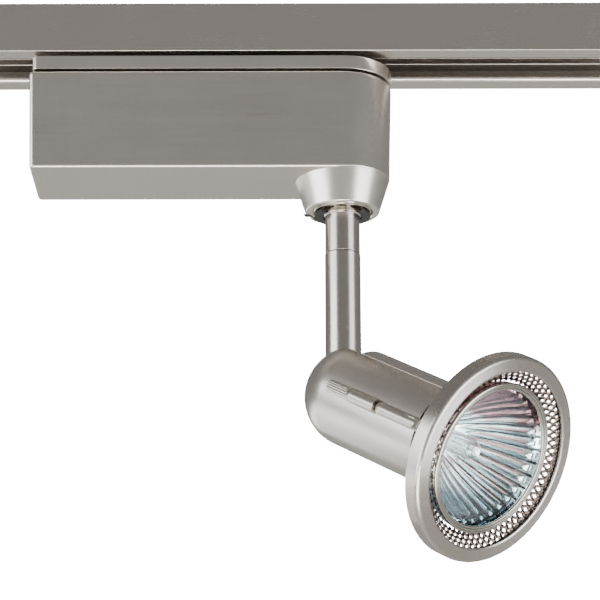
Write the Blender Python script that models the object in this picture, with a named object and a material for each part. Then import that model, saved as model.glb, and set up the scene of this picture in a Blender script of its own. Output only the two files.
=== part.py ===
"""Track spotlight: a short length of ceiling track, a box with an electronic transformer, a swivelling
stem and a tilting lamp head. Blender script, world units metres, +Z up.

The world origin is on the track's ceiling face, on the stem's axis. +X runs along the track.
Lengths below are in millimetres and are multiplied by MM when a mesh is written.
"""
import math

import bmesh
import bpy
from mathutils import Matrix, Vector

MM = 0.001
GAP = 0.3

# Track
TRACK_WIDTH = 35.0
TRACK_HEIGHT = 18.2
TRACK_LEFT = -129.0
TRACK_RIGHT = 99.6
TRACK_WALL = 1.6
TRACK_LIP = 7.9
LIP_THICKNESS = 1.8
LIP_ROUND = 1.6
RIB_LOW = -11.7
RIB_HIGH = -9.2
RIB_NOSE = 9.9
GROOVE_LOW = -7.9
GROOVE_HIGH = -4.3
GROOVE_DEPTH = 14.0
CONDUCTOR_INSIDE = 12.9
CONDUCTOR_OUTSIDE = 13.7
TRACK_HOLE_X = (-100.0, 70.0)
TRACK_HOLE_RADIUS = 2.25

# Adapter and transformer box
BOX_HALF_WIDTH = 17.6
BOX_LEFT = -109.0
BOX_CORNER = 1.6
PLATE_TOP = -19.9
PLATE_BOTTOM = -24.9
PLATE_INSET = 1.2
BOX_TOP = -25.65
BOX_BOTTOM = -61.25
BOX_DRAFT = 0.97
BOX_WALL = 1.5
BOX_EDGE = 1.0
SHOULDER = ((0.0, 0.9), (0.4, 0.3), (1.4, 0.0))
NECK_X = -46.0
NECK_RADIUS = 8.9
POST_X = (-101.0, -16.0)
POST_RADIUS = 3.2
BOARD_LOW = -55.4
BOARD_THICKNESS = 1.6
BOARD_LEFT = -94.0
BOARD_RIGHT = -24.0
BOARD_HALF_WIDTH = 13.4
BOARD_SCREW_X = (-90.0, -28.0)

# Swivel under the rounded end of the box
BOSS_TOP_RADIUS = 16.45
BOSS_RADIUS = 12.7
BOSS_BOTTOM = -72.35
BOSS_BORE = 10.6
BOSS_FLOOR = -66.0
SHAFT_RADIUS = 4.9
SHAFT_TOP = -51.0
TAB_NOTCH_DEPTH = 2.0
CLIP_HIGH = -72.9
CLIP_LOW = -73.7
CLIP_OUTSIDE = 9.8
CLIP_INSIDE = 6.9
CLIP_END = 38.0
TAB_REACH = 13.8
TAB_HALF_WIDTH = 1.2
TAB_SHEET = 0.55
TAB_RISE = 1.05
COLLAR_RADIUS = 6.6
COLLAR_HIGH = -72.3
COLLAR_LOW = -73.6
STUB_RADIUS = 6.05
STEM_SEAM = -87.6
TUBE_RADIUS = 6.2
TUBE_BORE = 4.6
LEAD_RADIUS = 0.8
TAB_ANGLE = 162.0

# Head: distances run forwards from the dome's centre, along the lamp's axis
PIVOT_Z = -137.1
HEAD_BEARING = -42.4
HEAD_TILT = 28.6
DOME_AHEAD = 6.1
DOME_RADIUS = 17.4
HEAD_WALL = 1.2
HEAD_FRONT = 47.6
NOTCH_BACK = 45.7
NOTCH_HALF_WIDTH = 7.4
SLOT_HALF_WIDTH = 8.7
SLOT_FRONT = 42.6
SLOT_LOW = -8.0
COVER_BACK = 3.5
EAR_INSIDE = 4.4
EAR_OUTSIDE = 5.8
EAR_RADIUS = 4.6
PIVOT_SCREW_RADIUS = 2.0
TONGUE_HALF = 3.0
KNUCKLE_TOP = 7.6
KNUCKLE_LOW = 6.4
BRACKET_BACK = 13.4
BRACKET_FRONT = 14.8
BRACKET_RADIUS = 13.6
SOCKET_BACK = 15.1
SOCKET_FRONT = 27.1
PIN_SPREAD = 2.65
BRACKET_SCREW_X = 19.5
SOCKET_SCREW_Y = 8.6

# Thumbscrew beside the head, turned a little up the barrel from the tilt axis
SIDE_TURN = -5.2
SCREW_OFFSET = 18.9
KNOB_BACK = 5.0
KNOB_FRONT = 16.0
KNOB_RADIUS = 2.3
SLEEVE_BACK = 16.2
SLEEVE_FRONT = 28.3
SLEEVE_RADIUS = 2.5
ROD_RADIUS = 0.9
ROD_FRONT = 34.0
LEG_BACK = 28.9
LEG_RADIUS = 2.2
LEG_FLOOR = 17.15
LEG_FOOT = 1.75
LEG_BEND = 47.6

# Lamp and front ring
LAMP_FRONT = 64.7
LAMP_RADIUS = 25.0
RING_BACK = 61.9
RING_FRONT = 68.2
RING_RADIUS = 34.8
RING_WALL = 1.4
RING_INNER = 29.7
RING_FACE = 1.0
RING_FALL = 0.3
GRILLE_INNER = 25.4
GRILLE_BEND = 29.4
GRILLE_BACK = 63.05
GRILLE_FLANGE = 66.25
GRILLE_SHEET = 0.5
RETAINER_INNER = 22.9
RETAINER_OUTER = 25.4

CUTTERS = []


def clear_scene():
    """Remove every object that the file opened with."""
    for item in list(bpy.data.objects):
        bpy.data.objects.remove(item, do_unlink=True)


# ---------------------------------------------------------------- materials

def finish(name, colour, metallic, roughness):
    """A Principled material."""
    material = bpy.data.materials.get(name)
    if material is None:
        material = bpy.data.materials.new(name)
        material.use_nodes = True
        shader = material.node_tree.nodes["Principled BSDF"]
        shader.inputs["Base Color"].default_value = (*colour, 1.0)
        shader.inputs["Metallic"].default_value = metallic
        shader.inputs["Roughness"].default_value = roughness
    return material


def nickel():
    return finish("brushed_nickel", (0.50, 0.48, 0.45), 1.0, 0.38)


def bright_steel():
    return finish("bright_steel", (0.72, 0.72, 0.71), 1.0, 0.2)


def black_steel():
    return finish("black_steel", (0.03, 0.035, 0.035), 0.6, 0.45)


def brass():
    return finish("brass", (0.72, 0.58, 0.33), 1.0, 0.3)


def copper():
    return finish("copper", (0.78, 0.42, 0.28), 1.0, 0.3)


def dark_plastic():
    return finish("dark_plastic", (0.05, 0.05, 0.05), 0.0, 0.5)


def ceramic():
    return finish("ceramic", (0.85, 0.83, 0.78), 0.0, 0.5)


def glass():
    return finish("lamp_glass", (0.80, 0.90, 0.92), 0.0, 0.05)


def dichroic():
    return finish("dichroic_coating", (0.75, 0.80, 0.84), 0.9, 0.12)


def board_green():
    return finish("board_green", (0.05, 0.22, 0.10), 0.0, 0.5)


def ferrite():
    return finish("ferrite", (0.06, 0.06, 0.065), 0.1, 0.6)


def film_yellow():
    return finish("film_yellow", (0.75, 0.55, 0.10), 0.0, 0.4)


def aluminium():
    return finish("aluminium", (0.70, 0.70, 0.71), 1.0, 0.35)


def wire_red():
    return finish("wire_sleeve", (0.55, 0.06, 0.05), 0.0, 0.5)


# ---------------------------------------------------------------- mesh tools

def arc(radius, start, end, steps, centre=(0.0, 0.0)):
    """Points along an arc, ends included, angles in degrees."""
    points = []
    for step in range(steps + 1):
        angle = math.radians(start + (end - start) * step / steps)
        points.append((centre[0] + radius * math.cos(angle), centre[1] + radius * math.sin(angle)))
    return points


def skin(bm, first, second):
    """Faces between two rings; a ring of one vertex is a pole."""
    if len(first) == 1 and len(second) == 1:
        return
    count = max(len(first), len(second))
    for index in range(count):
        after = (index + 1) % count
        corners = [first[index % len(first)], first[after % len(first)]]
        corners += [second[after % len(second)], second[index % len(second)]]
        bm.faces.new(list(dict.fromkeys(corners)))


def turn_to(bm, axis):
    """Swing a mesh made along +Z so that it lies along +X or +Y."""
    if axis == "X":
        turn = Matrix.Rotation(math.radians(90), 4, "Y")
    elif axis == "Y":
        turn = Matrix.Rotation(math.radians(-90), 4, "X")
    else:
        return
    bmesh.ops.transform(bm, matrix=turn, verts=bm.verts)


def lathe(profile, segments=48, axis="Z"):
    """Revolve (radius, height) points. Ends on the axis close flat or to a pole, others join up."""
    bm = bmesh.new()
    circle = [2 * math.pi * step / segments for step in range(segments)]
    rings = []
    for radius, height in profile:
        angles = circle if radius > 1e-6 else circle[:1]
        rings.append([bm.verts.new((radius * math.cos(a), radius * math.sin(a), height)) for a in angles])
    if len(rings[0]) > 1:
        skin(bm, rings[-1], rings[0])
    else:
        rings = flat_end(bm, rings)
        rings = flat_end(bm, rings[::-1])
    for first, second in zip(rings, rings[1:]):
        skin(bm, first, second)
    turn_to(bm, axis)
    return bm


def flat_end(bm, rings):
    """Swap a pole that is level with its ring for one flat face."""
    pole = rings[0][0]
    if abs(pole.co.z - rings[1][0].co.z) > 1e-6:
        return rings
    bm.verts.remove(pole)
    bm.faces.new(rings[1])
    return rings[1:]


def rod(radius, low, high, segments=24, axis="Z"):
    """A plain round bar along an axis."""
    return lathe([(0, low), (radius, low), (radius, high), (0, high)], segments, axis)


def tube(inner, outer, low, high, segments=48, axis="Z"):
    """A plain round tube along an axis."""
    return lathe([(inner, low), (outer, low), (outer, high), (inner, high)], segments, axis)


def loft(sections):
    """Join equal outlines into one closed body with a cap on each end."""
    bm = bmesh.new()
    rings = [[bm.verts.new(point) for point in section] for section in sections]
    for first, second in zip(rings, rings[1:]):
        skin(bm, first, second)
    bm.faces.new(rings[0][::-1])
    bm.faces.new(rings[-1])
    return bm


def prism(outline, low, high, axis="Z"):
    """Extrude an outline: (x, y) along Z, (y, z) along X or (x, z) along Y."""
    order = {"X": (1, 2, 0), "Y": (0, 2, 1), "Z": (0, 1, 2)}[axis]
    sections = []
    for level in (low, high):
        section = []
        for first, second in outline:
            point = [0.0, 0.0, 0.0]
            point[order[0]] = first
            point[order[1]] = second
            point[order[2]] = level
            section.append(point)
        sections.append(section)
    return loft(sections)


def block(low, high):
    """A box from one corner to the opposite one."""
    outline = [(low[0], low[1]), (high[0], low[1]), (high[0], high[1]), (low[0], high[1])]
    return prism(outline, low[2], high[2])


def shifted(bm, move):
    """Move a bmesh by a vector in millimetres."""
    bmesh.ops.translate(bm, vec=Vector(move), verts=bm.verts)
    return bm


def write(name, bm, parent=None, place=(0.0, 0.0, 0.0)):
    """Turn a bmesh in millimetres into an object in metres under a parent."""
    bmesh.ops.scale(bm, vec=(MM, MM, MM), verts=bm.verts)
    bmesh.ops.recalc_face_normals(bm, faces=bm.faces)
    mesh = bpy.data.meshes.new(name)
    bm.to_mesh(mesh)
    bm.free()
    for face in mesh.polygons:
        face.use_smooth = True
    mesh.set_sharp_from_angle(angle=math.radians(32))
    item = bpy.data.objects.new(name, mesh)
    item.parent = parent
    item.location = Vector(place) * MM
    bpy.context.scene.collection.objects.link(item)
    return item


def part(name, bm, material, parent=None, place=(0.0, 0.0, 0.0)):
    """One named piece with its own material."""
    item = write(name, bm, parent, place)
    item.data.materials.append(material)
    return item


def change(item, bm, operation):
    """Cut from or add to a piece with a hidden helper that shares its placing."""
    helper = write(f"{item.name}_helper_{len(CUTTERS)}", bm, item.parent)
    helper.location = item.location
    helper.hide_render = True
    helper.display_type = "WIRE"
    CUTTERS.append(helper)
    step = item.modifiers.new("shape", "BOOLEAN")
    step.operation = operation
    step.object = helper
    step.solver = "EXACT"
    return item


def cut(item, bm):
    return change(item, bm, "DIFFERENCE")


def add(item, bm):
    return change(item, bm, "UNION")


def empty(name, parent=None, place=(0.0, 0.0, 0.0), matrix=None):
    """A joint's frame."""
    item = bpy.data.objects.new(name, None)
    item.empty_display_size = 0.01
    item.parent = parent
    bpy.context.scene.collection.objects.link(item)
    if matrix is None:
        item.location = Vector(place) * MM
    else:
        item.matrix_local = matrix
    return item


def lead(name, points, parent, place=(0.0, 0.0, 0.0)):
    """An insulated wire along hand-set points."""
    curve = bpy.data.curves.new(name, "CURVE")
    curve.dimensions = "3D"
    curve.bevel_depth = LEAD_RADIUS * MM
    curve.bevel_resolution = 1
    curve.resolution_u = 4
    curve.use_fill_caps = True
    spline = curve.splines.new("BEZIER")
    spline.bezier_points.add(len(points) - 1)
    for knot, point in zip(spline.bezier_points, points):
        knot.co = Vector(point) * MM
        knot.handle_left_type = "AUTO"
        knot.handle_right_type = "AUTO"
    item = bpy.data.objects.new(name, curve)
    item.parent = parent
    item.location = Vector(place) * MM
    curve.materials.append(wire_red())
    bpy.context.scene.collection.objects.link(item)
    return item


# ---------------------------------------------------------------- track

def track_outline():
    """Channel section in (y, z): side walls, inward lips rounded below and a rib above each lip."""
    half = TRACK_WIDTH / 2
    inside = half - TRACK_WALL
    lip = half - TRACK_LIP
    floor = -TRACK_HEIGHT
    right = [(half, 0), (half, floor)] + arc(LIP_ROUND, 270, 180, 5, (lip + LIP_ROUND, floor + LIP_ROUND))
    right += [(lip, floor + LIP_THICKNESS)]
    right += [(inside, floor + LIP_THICKNESS), (inside, RIB_LOW), (RIB_NOSE, RIB_LOW), (RIB_NOSE, RIB_HIGH)]
    right += [(inside, RIB_HIGH), (inside, -TRACK_WALL)]
    left = [(-y, z) for y, z in reversed(right)]
    return right + left


def make_track():
    """The root body: extruded channel, two insulators and two conductors."""
    channel = part("track_channel", prism(track_outline(), TRACK_LEFT, TRACK_RIGHT, "X"), nickel())
    for x in TRACK_HOLE_X:
        cut(channel, shifted(rod(TRACK_HOLE_RADIUS, -TRACK_WALL - 1, 1), (x, 0, 0)))
    for label, side in (("front", -1), ("rear", 1)):
        outer = side * (TRACK_WIDTH / 2 - TRACK_WALL - GAP)
        inner = side * (RIB_NOSE + GAP)
        deep = side * GROOVE_DEPTH
        low, high = RIB_HIGH + GAP, -TRACK_WALL - GAP
        section = [(outer, low), (inner, low), (inner, GROOVE_LOW), (deep, GROOVE_LOW)]
        section += [(deep, GROOVE_HIGH), (inner, GROOVE_HIGH), (inner, high), (outer, high)]
        bar = prism(section, TRACK_LEFT + 0.5, TRACK_RIGHT - 0.5, "X")
        part(f"track_insulator_{label}", bar, dark_plastic())
        near, far = side * CONDUCTOR_INSIDE, side * CONDUCTOR_OUTSIDE
        bottom, top = GROOVE_LOW + GAP, GROOVE_HIGH - GAP
        strip = [(near, bottom), (far, bottom), (far, top), (near, top)]
        strip_bar = prism(strip, TRACK_LEFT + 3, TRACK_RIGHT - 3, "X")
        part(f"track_conductor_{label}", strip_bar, copper())


# ---------------------------------------------------------------- adapter and box

def box_outline(half, left, corner, level):
    """Box plan at one level: round at the stem's end, square with small corners at the other."""
    plan = arc(half, -90, 90, 24)
    plan += arc(corner, 90, 180, 4, (left + corner, half - corner))
    plan += arc(corner, 180, 270, 4, (left + corner, corner - half))
    return [(x, y, level) for x, y in plan]


def make_plate(slider):
    """The adapter plate that runs under the track, with its screws."""
    sections = []
    for inset, level in ((0.5, PLATE_TOP), (0, PLATE_TOP - 0.5), (0, PLATE_BOTTOM)):
        left = BOX_LEFT + PLATE_INSET + inset
        sections.append(box_outline(BOX_HALF_WIDTH - inset, left, BOX_CORNER, level))
    plate = part("adapter_plate", loft(sections), nickel(), slider)
    cut(plate, shifted(rod(4.0, PLATE_BOTTOM - 1, PLATE_TOP + 1), (NECK_X, 0, 0)))
    for index, x in enumerate(POST_X, 1):
        cut(plate, shifted(rod(1.6, PLATE_BOTTOM - 1, PLATE_TOP + 1), (x, 0, 0)))
        cut(plate, shifted(rod(3.1, PLATE_TOP - 2.0, PLATE_TOP + 1), (x, 0, 0)))
        top = PLATE_TOP - 0.3
        screw = [(0, -34), (1.3, -34), (1.3, top - 1.4), (2.8, top - 1.4), (2.8, top - 0.3)]
        screw += [(2.4, top), (0, top)]
        part(f"plate_screw_{index}", lathe(screw, 20), bright_steel(), slider, (x, 0, 0))


def make_neck(slider):
    """The turning neck that keys into the track, with its contacts and the steel foot that hangs it."""
    post = rod(NECK_RADIUS, PLATE_TOP + GAP, -3.5, 32)
    neck = part("adapter_neck", post, dark_plastic(), slider, (NECK_X, 0, 0))
    cut(neck, rod(3.0, PLATE_TOP - 1, -9.0, 16))
    cut(neck, block((-4.3, -10, -7.2), (4.3, 10, -5.8)))
    cut(neck, block((-5.3, -10, -16.4), (5.3, 10, -14.3)))
    foot = block((-5, -14, -16.1), (5, 14, -14.6))
    part("lock_foot", foot, bright_steel(), slider, (NECK_X, 0, 0))
    for label, side in (("front", -1), ("rear", 1)):
        ends = sorted((side * 1.2, side * 12.6))
        blade = block((-4, ends[0], -6.9), (4, ends[1], -6.1))
        part(f"contact_blade_{label}", blade, brass(), slider, (NECK_X, 0, 0))
    leaf = [(-31, PLATE_TOP + 0.3), (-22, PLATE_TOP + 0.3), (-22, PLATE_TOP + 0.7), (-25, PLATE_TOP + 1.4)]
    leaf += [(-28, PLATE_TOP + 1.4), (-31, PLATE_TOP + 0.7)]
    part("earth_contact", prism(leaf, 11.5, 15.5, "Y"), brass(), slider)


def box_sections():
    """Inner floor up to the rim and down the outside to the underside, for a shell with one open face."""
    height = BOX_TOP - BOX_BOTTOM
    sections = []

    def slice_at(level, inset):
        draft = BOX_DRAFT * (BOX_TOP - level) / height
        half = BOX_HALF_WIDTH - draft - inset
        corner = max(BOX_CORNER - inset, 0.4)
        sections.append(box_outline(half, BOX_LEFT + draft + inset, corner, level))

    slice_at(BOX_BOTTOM + BOX_WALL, BOX_WALL)
    slice_at(BOX_TOP, BOX_WALL)
    for drop, inset in SHOULDER:
        slice_at(BOX_TOP - drop, inset)
    slice_at(BOX_BOTTOM + BOX_EDGE, 0)
    for angle in (30, 60, 90):
        turn = math.radians(angle)
        slice_at(BOX_BOTTOM + BOX_EDGE * (1 - math.sin(turn)), BOX_EDGE * (1 - math.cos(turn)))
    return sections


def make_box(slider):
    """The transformer housing with the swivel's conical boss under its rounded end."""
    housing = part("transformer_housing", loft(box_sections()), nickel(), slider)
    root = BOX_BOTTOM + 0.25
    boss = [(0, root + 0.5), (BOSS_TOP_RADIUS, root + 0.5), (BOSS_TOP_RADIUS, root)]
    boss += [(BOSS_RADIUS + 0.4, BOSS_BOTTOM + 0.4), (BOSS_RADIUS, BOSS_BOTTOM), (0, BOSS_BOTTOM)]
    add(housing, lathe(boss, 48))
    cut(housing, rod(BOSS_BORE, BOSS_BOTTOM - 1, BOSS_FLOOR, 48))
    cut(housing, rod(SHAFT_RADIUS + 0.4, BOSS_FLOOR - 1, BOX_BOTTOM + 3, 32))
    notch = block((-BOSS_RADIUS - 2, -3, BOSS_BOTTOM - 1), (-BOSS_BORE + 1.5, 3, BOSS_BOTTOM + TAB_NOTCH_DEPTH))
    bmesh.ops.rotate(notch, matrix=Matrix.Rotation(math.radians(TAB_ANGLE - 180), 3, "Z"), verts=notch.verts)
    cut(housing, notch)
    floor = BOX_BOTTOM + BOX_WALL - 0.5
    for x in POST_X:
        add(housing, shifted(rod(POST_RADIUS, floor, BOX_TOP + 0.45, 20), (x, 0, 0)))
        cut(housing, shifted(rod(1.6, -35, BOX_TOP + 2, 20), (x, 0, 0)))
    for x in BOARD_SCREW_X:
        add(housing, shifted(rod(2.6, floor, BOARD_LOW - GAP, 16), (x, 0, 0)))
        cut(housing, shifted(rod(1.2, floor + 1.2, BOARD_LOW + 1, 16), (x, 0, 0)))


def make_electronics(slider):
    """The electronic transformer: board, core with its winding, capacitor, heat sink and terminals."""
    top = BOARD_LOW + BOARD_THICKNESS
    corners = (BOARD_LEFT, -BOARD_HALF_WIDTH, BOARD_LOW), (BOARD_RIGHT, BOARD_HALF_WIDTH, top)
    board = part("circuit_board", block(*corners), board_green(), slider)
    for index, x in enumerate(BOARD_SCREW_X, 1):
        cut(board, shifted(rod(1.2, BOARD_LOW - 1, top + 1, 16), (x, 0, 0)))
        screw = [(0, BOARD_LOW - 3), (0.9, BOARD_LOW - 3), (0.9, top + 0.3), (2.0, top + 0.3)]
        screw += [(1.6, top + 1.4), (0, top + 1.4)]
        part(f"board_screw_{index}", lathe(screw, 16), bright_steel(), slider, (x, 0, 0))
    base = top + GAP
    core = [(3.0, base + 1.6), (8.4, base + 1.6), (8.4, base + 9.4), (3.0, base + 9.4)]
    part("transformer_core", lathe(core, 32), ferrite(), slider, (-62, 0, 0))
    part("core_winding", winding_mesh(base), copper(), slider, (-62, 0, 0))
    film = block((-84.5, -9, base), (-76.5, 9, base + 12))
    part("film_capacitor", film, film_yellow(), slider)
    sink = [(-48.5, base), (-38.5, base), (-38.5, base + 1.5), (-47, base + 1.5)]
    sink += [(-47, base + 18), (-48.5, base + 18)]
    part("heat_sink", prism(sink, -11, 11, "Y"), aluminium(), slider)
    part("power_transistor", block((-46.7, -5, base + 4), (-42.2, 5, base + 15)), dark_plastic(), slider)
    part("terminal_block", block((-36.5, -8, base), (-31.5, 8, base + 9)), dark_plastic(), slider)
    for label, side in (("front", -1), ("rear", 1)):
        path = [(-31.0, side * 4.0, base + 5), (-25.0, side * 5.0, base + 9), (-14.0, side * 5.5, base + 12)]
        path += [(-4.0, side * 3.0, base + 11), (0.0, side * 1.4, SHAFT_TOP + 2.0)]
        lead(f"output_lead_{label}", path, slider)


def winding_mesh(base):
    """A C-shaped sleeve round the toroid, standing for its turns of wire."""
    bm = bmesh.new()
    outline = [(2.2, base + 0.3), (9.4, base + 0.3), (9.4, base + 10.7), (2.2, base + 10.7)]
    hollow = [(2.7, base + 1.3), (8.7, base + 1.3), (8.7, base + 9.7), (2.7, base + 9.7)]
    steps = 18
    rings = []
    for step in range(steps + 1):
        angle = math.radians(-130 + 260 * step / steps)
        swing = (math.cos(angle), math.sin(angle))
        outer = [bm.verts.new((r * swing[0], r * swing[1], z)) for r, z in outline]
        inner = [bm.verts.new((r * swing[0], r * swing[1], z)) for r, z in hollow]
        rings.append((outer, inner))
    for first, second in zip(rings, rings[1:]):
        skin(bm, first[0], second[0])
        skin(bm, second[1], first[1])
    skin(bm, rings[0][1], rings[0][0])
    skin(bm, rings[-1][0], rings[-1][1])
    return bm


def make_swivel_seat(slider):
    """The stepped bush pressed into the boss, and the open clip whose tab rises to the boss's notch."""
    outer = BOSS_BORE - GAP
    inner = SHAFT_RADIUS + GAP
    low = BOSS_BOTTOM + 0.05
    bush = [(inner, BOSS_FLOOR - GAP), (outer, BOSS_FLOOR - GAP), (outer, low + 0.4)]
    bush += [(outer - 0.4, low), (outer - 1.1, low), (outer - 1.4, low + 0.5), (outer - 2.5, low + 0.5)]
    bush += [(outer - 3.3, low + 1.2), (inner, low + 1.2)]
    part("swivel_bush", lathe(bush, 32), brass(), slider)
    outline = arc(CLIP_OUTSIDE, -CLIP_END, 180 + CLIP_END, 34)
    outline += arc(CLIP_INSIDE, 180 + CLIP_END, -CLIP_END, 24)
    clip = part("retaining_clip", prism(outline, CLIP_LOW, CLIP_HIGH), black_steel(), slider)
    rise = CLIP_HIGH + TAB_RISE
    root, bend = -CLIP_OUTSIDE + 0.8, -CLIP_OUTSIDE - 0.4
    tab = [(root, CLIP_HIGH - 0.2), (root, CLIP_LOW + 0.1), (bend, CLIP_LOW + 0.1), (-11.6, rise)]
    tab += [(-TAB_REACH, rise), (-TAB_REACH, rise + TAB_SHEET), (-11.9, rise + TAB_SHEET)]
    tab += [(bend, CLIP_HIGH - 0.05)]
    strip = prism(tab, -TAB_HALF_WIDTH, TAB_HALF_WIDTH, "Y")
    bmesh.ops.rotate(strip, matrix=Matrix.Rotation(math.radians(TAB_ANGLE - 180), 3, "Z"), verts=strip.verts)
    add(clip, strip)


# ---------------------------------------------------------------- stem

def make_stem(turner):
    """Stub with its clamp inside the box, lower tube and the lamp's leads."""
    spigot = STEM_SEAM - 8.5
    stub = [(3.0, SHAFT_TOP), (3.0, spigot), (TUBE_BORE - GAP, spigot), (TUBE_BORE - GAP, STEM_SEAM + 0.15)]
    stub += [(STUB_RADIUS, STEM_SEAM + 0.15), (STUB_RADIUS, COLLAR_LOW), (COLLAR_RADIUS, COLLAR_LOW + 0.3)]
    stub += [(COLLAR_RADIUS, COLLAR_HIGH), (SHAFT_RADIUS, COLLAR_HIGH), (SHAFT_RADIUS, SHAFT_TOP)]
    part("stem_stub", lathe(stub, 32), nickel(), turner)
    floor = BOX_BOTTOM + BOX_WALL
    washer = tube(SHAFT_RADIUS + GAP, 9.0, floor + GAP, floor + 1.3, 32)
    part("swivel_washer", washer, bright_steel(), turner)
    nut = part("swivel_nut", rod(9.0, floor + 1.6, floor + 6.0, 6), bright_steel(), turner)
    cut(nut, rod(SHAFT_RADIUS + GAP, floor, floor + 8, 32))
    low = PIVOT_Z + KNUCKLE_TOP + GAP
    part("stem_tube", tube(TUBE_BORE, TUBE_RADIUS, low, STEM_SEAM - 0.15, 32), nickel(), turner)
    for label, side in (("front", -1), ("rear", 1)):
        wire = rod(LEAD_RADIUS, PIVOT_Z + 17, SHAFT_TOP + 1.0, 8)
        part(f"stem_lead_{label}", wire, wire_red(), turner, (0, side * 1.4, 0))


def make_knuckle(holder):
    """The flat tongue that the head tilts on, made upright on its pivot."""
    shoulder = [(0, KNUCKLE_LOW), (TUBE_RADIUS - 0.1, KNUCKLE_LOW), (TUBE_RADIUS - 0.1, KNUCKLE_TOP)]
    shoulder += [(TUBE_BORE - GAP, KNUCKLE_TOP), (TUBE_BORE - GAP, 16.0), (0, 16.0)]
    knuckle = part("stem_knuckle", lathe(shoulder, 32), nickel(), holder)
    tongue = arc(EAR_RADIUS, 180, 360, 16)
    tongue += [(EAR_RADIUS, KNUCKLE_LOW + 0.5), (-EAR_RADIUS, KNUCKLE_LOW + 0.5)]
    add(knuckle, prism(tongue, -TONGUE_HALF, TONGUE_HALF, "Y"))
    cut(knuckle, rod(PIVOT_SCREW_RADIUS + GAP, -8, 8, 24, "Y"))


# ---------------------------------------------------------------- head

def side_matrix():
    """Turn about the barrel's axis that puts the thumbscrew and the leg where they belong."""
    return Matrix.Rotation(math.radians(SIDE_TURN), 4, "X")


def to_side(bm):
    bmesh.ops.transform(bm, matrix=side_matrix(), verts=bm.verts)
    return bm


def make_head_shell(head, dome):
    """Domed barrel, slotted for the stem, with a pocket and a sleeve for the thumbscrew."""
    inner = DOME_RADIUS - HEAD_WALL
    outside = [(r, x) for x, r in arc(DOME_RADIUS, 180, 90, 12)]
    outside += [(DOME_RADIUS, HEAD_FRONT - 0.3), (DOME_RADIUS - 0.3, HEAD_FRONT)]
    inside = [(inner, HEAD_FRONT)] + [(r, x) for x, r in arc(inner, 90, 180, 12)]
    shell = part("head_housing", lathe(outside + inside, 40, "X"), nickel(), head, dome)
    slot = [(-20, SLOT_LOW), (-10, SLOT_LOW), (-10, 4), (SLOT_FRONT, 4), (SLOT_FRONT, 20), (-20, 20)]
    cut(shell, prism(slot, -SLOT_HALF_WIDTH, SLOT_HALF_WIDTH, "Y"))
    sleeve = rod(SLEEVE_RADIUS, SLEEVE_BACK, SLEEVE_FRONT, 24, "X")
    add(shell, to_side(shifted(sleeve, (0, -SCREW_OFFSET, 0))))
    pocket = rod(KNOB_RADIUS + GAP, KNOB_BACK - 0.5, SLEEVE_BACK + 0.2, 24, "X")
    cut(shell, to_side(shifted(pocket, (0, -SCREW_OFFSET, 0))))
    bore = rod(ROD_RADIUS + GAP, SLEEVE_BACK - 1, SLEEVE_FRONT + 1, 16, "X")
    cut(shell, to_side(shifted(bore, (0, -SCREW_OFFSET, 0))))
    half = LEG_FOOT + GAP
    low = (SLEEVE_FRONT - 0.1, -22, -half)
    cut(shell, to_side(block(low, (HEAD_FRONT + 1, -LEG_FLOOR + GAP, half))))
    low = (NOTCH_BACK, -22, -NOTCH_HALF_WIDTH)
    cut(shell, to_side(block(low, (HEAD_FRONT + 2, -13, NOTCH_HALF_WIDTH))))
    sink = [(0, -12), (1.8, -12), (1.8, -15.9), (3.1, -17.2), (3.1, -20), (0, -20)]
    cut(shell, shifted(lathe(sink, 24), (BRACKET_SCREW_X, 0, 0)))


def make_slot_cover(head, dome):
    """Flush strip that closes the front of the stem's slot, with flanges under the barrel."""
    side = SLOT_HALF_WIDTH - GAP
    edge = math.degrees(math.asin(side / DOME_RADIUS))
    flange = DOME_RADIUS - HEAD_WALL - GAP
    low = math.sqrt(flange ** 2 - side ** 2)
    section = arc(DOME_RADIUS, 90 - edge, 90 + edge, 14)
    section += [(-side, low)] + arc(flange, 122, 128, 2) + arc(flange - 1.2, 128, 52, 14)
    section += arc(flange, 52, 58, 2) + [(side, low)]
    strip = prism(section, COVER_BACK, SLOT_FRONT - GAP, "X")
    part("slot_cover", strip, nickel(), head, dome)


def make_bracket(head, dome):
    """Forked bracket that carries the pivot and the socket, fixed under the barrel by one screw."""
    plate = rod(BRACKET_RADIUS, BRACKET_BACK, BRACKET_FRONT, 40, "X")
    bracket = part("tilt_bracket", plate, bright_steel(), head, dome)
    for side in (-1, 1):
        ear = arc(EAR_RADIUS, 90, 270, 14, (-DOME_AHEAD, 0))
        ear += [(BRACKET_BACK + 0.4, -EAR_RADIUS), (BRACKET_BACK + 0.4, EAR_RADIUS)]
        ends = sorted((side * EAR_INSIDE, side * EAR_OUTSIDE))
        add(bracket, prism(ear, ends[0], ends[1], "Y"))
    back, front = BRACKET_BACK + 0.1, BRACKET_FRONT - 0.1
    hook = [(back, -12), (back, -15.3), (24, -15.3), (24, -13.9), (front, -13.9), (front, -12)]
    add(bracket, prism(hook, -4, 4, "Y"))
    hole = rod(PIVOT_SCREW_RADIUS + GAP, -8, 8, 24, "Y")
    cut(bracket, shifted(hole, (-DOME_AHEAD, 0, 0)))
    cut(bracket, rod(3.0, BRACKET_BACK - 1, BRACKET_FRONT + 1, 20, "X"))
    for side in (-1, 1):
        hole = rod(1.5, BRACKET_BACK - 1, BRACKET_FRONT + 1, 16, "X")
        cut(bracket, shifted(hole, (0, side * SOCKET_SCREW_Y, 0)))
    cut(bracket, shifted(rod(1.8, -17, -12.5, 16), (BRACKET_SCREW_X, 0, 0)))
    screw = [(0, -13), (1.5, -13), (1.5, -15.9), (2.6, -17.0), (0, -17.0)]
    part("bracket_screw", lathe(screw, 20), bright_steel(), head, (dome[0] + BRACKET_SCREW_X, 0, 0))


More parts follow.
